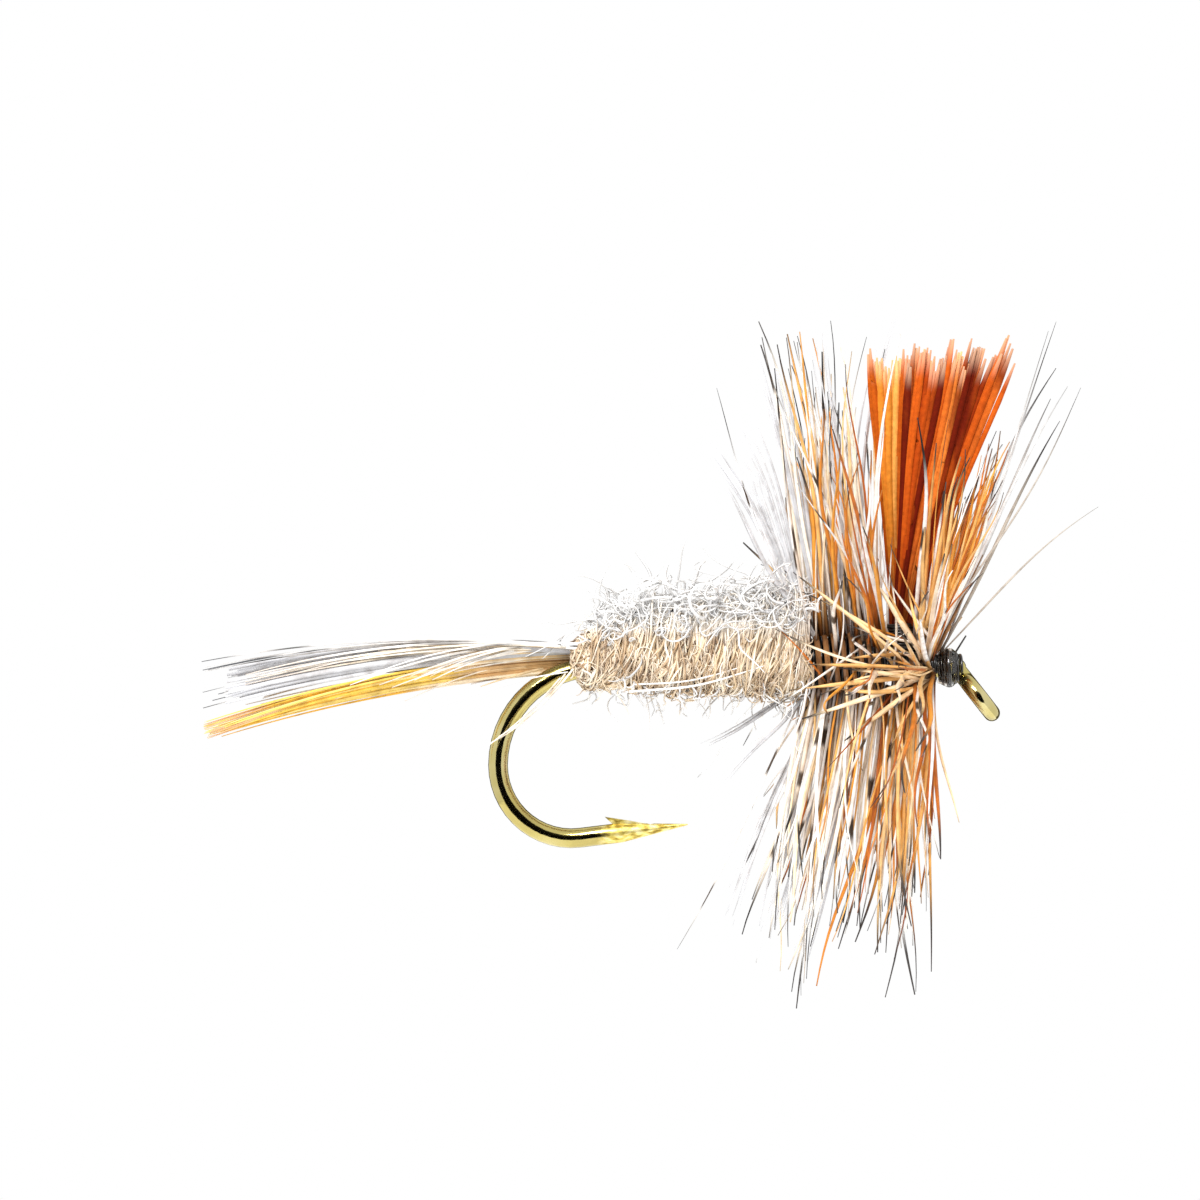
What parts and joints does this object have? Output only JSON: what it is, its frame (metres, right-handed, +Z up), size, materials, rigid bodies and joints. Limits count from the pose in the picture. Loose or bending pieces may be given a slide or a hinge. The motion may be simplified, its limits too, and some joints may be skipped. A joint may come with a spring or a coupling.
{
  "type": "dry fly",
  "caption": "Dry fly on a barbed down-eye hook, with a feather tail, dubbed fur body, upright divided wing and a mixed collar hackle.",
  "frame": {"origin": "centre of the hole in the hook's eye", "axes": "+X along the shank towards the eye, +Y to the far side, +Z up from the shank towards the wing"},
  "size_m": [0.0215, 0.0175, 0.0173],
  "materials": {
    "gold_plated_steel": "polished",
    "black_thread": "satin",
    "clear_varnish": "gloss",
    "cream_fur": "matte",
    "white_fur": "matte",
    "ginger_barbs": "satin",
    "golden_barbs": "satin",
    "grizzly_barbs": "satin",
    "cream_barbs": "satin",
    "quill": "satin",
    "wing_orange": "satin"
  },
  "bodies": {
    "root": {"hook": "gold_plated_steel", "thread_base": "black_thread", "tail_ginger_fibres": "golden_barbs", "tail_grizzly_fibres": "grizzly_barbs", "tail_cream_fibres": "cream_barbs", "tail_lashing": "black_thread", "dubbed_body": "cream_fur", "guard_hairs": "white_fur", "wing_near": "wing_orange", "wing_far": "wing_orange", "wing_base_wraps": "black_thread", "thorax_wraps": "black_thread", "front_wraps": "black_thread", "hackle_butts": "quill", "ginger_hackle_stem": "quill", "ginger_hackle_barbs": "ginger_barbs", "grizzly_hackle_stem": "quill", "grizzly_hackle_barbs": "grizzly_barbs", "collar_strays": "cream_barbs", "hackle_tips": "quill", "head_wraps": "black_thread", "head_cement": "clear_varnish", "thread_tag": "black_thread"}
  },
  "joints": []
}
